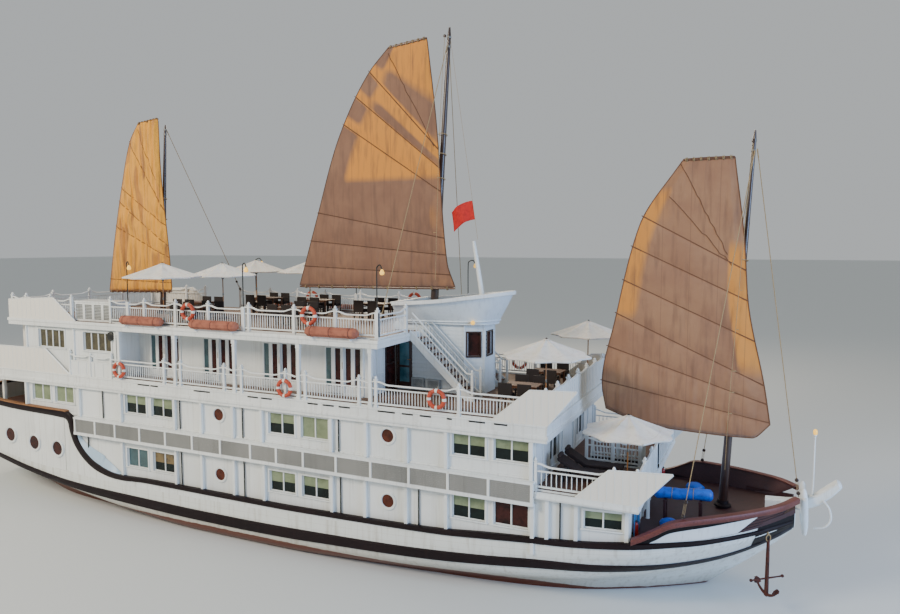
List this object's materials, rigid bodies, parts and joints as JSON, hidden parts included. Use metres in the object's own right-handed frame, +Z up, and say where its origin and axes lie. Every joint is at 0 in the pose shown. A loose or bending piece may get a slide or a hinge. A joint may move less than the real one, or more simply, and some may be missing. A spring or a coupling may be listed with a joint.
{
  "type": "chinese junk cruise ship",
  "caption": "Wooden cruise junk with battened sails, decks of cabins, balconies, a sun deck and a flared wheelhouse roof; rudder, propellers, doors and sails move.",
  "frame": {"origin": "on the centreline amidships, at the level of the water it floats in", "axes": "+X to the bow, +Y to port, +Z up"},
  "size_m": [38.45, 9.9886, 21.8143],
  "materials": {
    "white_paint": "painted, satin",
    "dark_brown_paint": "painted, satin",
    "red_brown_wood": "oiled",
    "door_wood": "dark stain, glazed",
    "varnished_spar": "varnished",
    "brown_sailcloth": "woven, weathered",
    "white_canvas": "woven",
    "orange_moulding": "weathered",
    "rusty_iron": "rusted",
    "bronze": "cast",
    "wire": "dull"
  },
  "bodies": {
    "ship": {"hull": "white_paint", "forecastle_bulwark_starboard": "white_paint", "forecastle_bulwark_port": "white_paint", "quarter_bulwark": "white_paint", "quarter_cap": "dark_brown_paint", "bow_beam": "white_paint", "anchor": "rusty_iron", "lower_house": "white_paint", "upper_deck": "white_paint", "middle_house": "white_paint", "promenade_deck": "white_paint", "upper_house": "white_paint", "sun_deck": "white_paint", "wheelhouse": "white_paint", "wheelhouse_roof": "white_paint", "terrace_rail": "white_paint", "companionway_rail": "white_paint", "sun_deck_rail": "white_paint", "locker": "white_paint", "balcony_rail_starboard": "white_paint", "stair_starboard": "white_paint", "liferafts_starboard": "orange_moulding", "balcony_rail_port": "white_paint", "stair_port": "white_paint", "liferafts_port": "orange_moulding", "umbrella_sun_1": "white_canvas", "umbrella_sun_2": "white_canvas", "umbrella_sun_3": "white_canvas", "umbrella_sun_4": "white_canvas", "umbrella_promenade_1": "white_canvas", "umbrella_promenade_2": "white_canvas", "umbrella_terrace": "white_canvas", "foremast": "varnished_spar", "main_mast": "varnished_spar", "mizzen_mast": "varnished_spar", "forestay": "wire", "main_shroud_starboard": "wire", "main_shroud_port": "wire"},
    "rudder": {"rudder": "red_brown_wood"},
    "propeller_starboard": {"propeller_starboard": "bronze"},
    "propeller_port": {"propeller_port": "bronze"},
    "casing_door_starboard": {"casing_door_starboard": "door_wood"},
    "casing_door_port": {"casing_door_port": "door_wood"},
    "foresail": {"foresail": "brown_sailcloth", "foresail_yard": "varnished_spar", "foresail_boom": "varnished_spar"},
    "mainsail": {"mainsail": "brown_sailcloth", "mainsail_yard": "varnished_spar", "mainsail_boom": "varnished_spar"},
    "mizzen_sail": {"mizzen_sail": "brown_sailcloth", "mizzen_sail_yard": "varnished_spar", "mizzen_sail_boom": "varnished_spar"},
    "balcony_door_starboard_1": {"balcony_door_starboard_1": "white_paint"},
    "balcony_door_starboard_2": {"balcony_door_starboard_2": "white_paint"},
    "balcony_door_starboard_3": {"balcony_door_starboard_3": "white_paint"},
    "balcony_door_starboard_4": {"balcony_door_starboard_4": "white_paint"},
    "balcony_door_port_1": {"balcony_door_port_1": "white_paint"},
    "balcony_door_port_2": {"balcony_door_port_2": "white_paint"},
    "balcony_door_port_3": {"balcony_door_port_3": "white_paint"},
    "balcony_door_port_4": {"balcony_door_port_4": "white_paint"}
  },
  "joints": [
    {"name": "rudder_turn", "type": "hinge", "parent": "ship", "child": "rudder", "pos_m": [-17.95, 0, -0.5], "axis": [0, 0, 1], "range_deg": [-35, 35]},
    {"name": "propeller_starboard_spin", "type": "hinge", "parent": "ship", "child": "propeller_starboard", "pos_m": [-16.6, -1.25, -0.95], "axis": [1, 0, 0], "continuous": true},
    {"name": "casing_door_starboard_swing", "type": "hinge", "parent": "ship", "child": "casing_door_starboard", "pos_m": [3.49, -0.85, 7], "axis": [0, 0, -1], "range_deg": [0, 95]},
    {"name": "balcony_door_starboard_1_slide", "type": "slide", "parent": "ship", "child": "balcony_door_starboard_1", "axis": [1, 0, 0], "range_m": [0, 0.69]},
    {"name": "balcony_door_starboard_2_slide", "type": "slide", "parent": "ship", "child": "balcony_door_starboard_2", "axis": [1, 0, 0], "range_m": [0, 0.69]},
    {"name": "balcony_door_starboard_3_slide", "type": "slide", "parent": "ship", "child": "balcony_door_starboard_3", "axis": [1, 0, 0], "range_m": [0, 0.69]},
    {"name": "balcony_door_starboard_4_slide", "type": "slide", "parent": "ship", "child": "balcony_door_starboard_4", "axis": [1, 0, 0], "range_m": [0, 0.69]},
    {"name": "propeller_port_spin", "type": "hinge", "parent": "ship", "child": "propeller_port", "pos_m": [-16.6, 1.25, -0.95], "axis": [1, 0, 0], "continuous": true},
    {"name": "casing_door_port_swing", "type": "hinge", "parent": "ship", "child": "casing_door_port", "pos_m": [3.49, 0.85, 7], "axis": [0, 0, 1], "range_deg": [0, 95]},
    {"name": "balcony_door_port_1_slide", "type": "slide", "parent": "ship", "child": "balcony_door_port_1", "axis": [1, 0, 0], "range_m": [0, 0.69]},
    {"name": "balcony_door_port_2_slide", "type": "slide", "parent": "ship", "child": "balcony_door_port_2", "axis": [1, 0, 0], "range_m": [0, 0.69]},
    {"name": "balcony_door_port_3_slide", "type": "slide", "parent": "ship", "child": "balcony_door_port_3", "axis": [1, 0, 0], "range_m": [0, 0.69]},
    {"name": "balcony_door_port_4_slide", "type": "slide", "parent": "ship", "child": "balcony_door_port_4", "axis": [1, 0, 0], "range_m": [0, 0.69]},
    {"name": "foresail_swing", "type": "hinge", "parent": "ship", "child": "foresail", "pos_m": [15.578, 0, 2.79], "axis": [0.0487, 0, 0.9988], "range_deg": [-60, 5]},
    {"name": "mainsail_swing", "type": "hinge", "parent": "ship", "child": "mainsail", "pos_m": [4.47, 0, 6.005], "axis": [0.0632, 0, 0.998], "range_deg": [-60, 50]},
    {"name": "mizzen_sail_swing", "type": "hinge", "parent": "ship", "child": "mizzen_sail", "pos_m": [-9.85, 0, 8.37], "axis": [0.0641, 0, 0.9979], "range_deg": [-60, 60]}
  ]
}
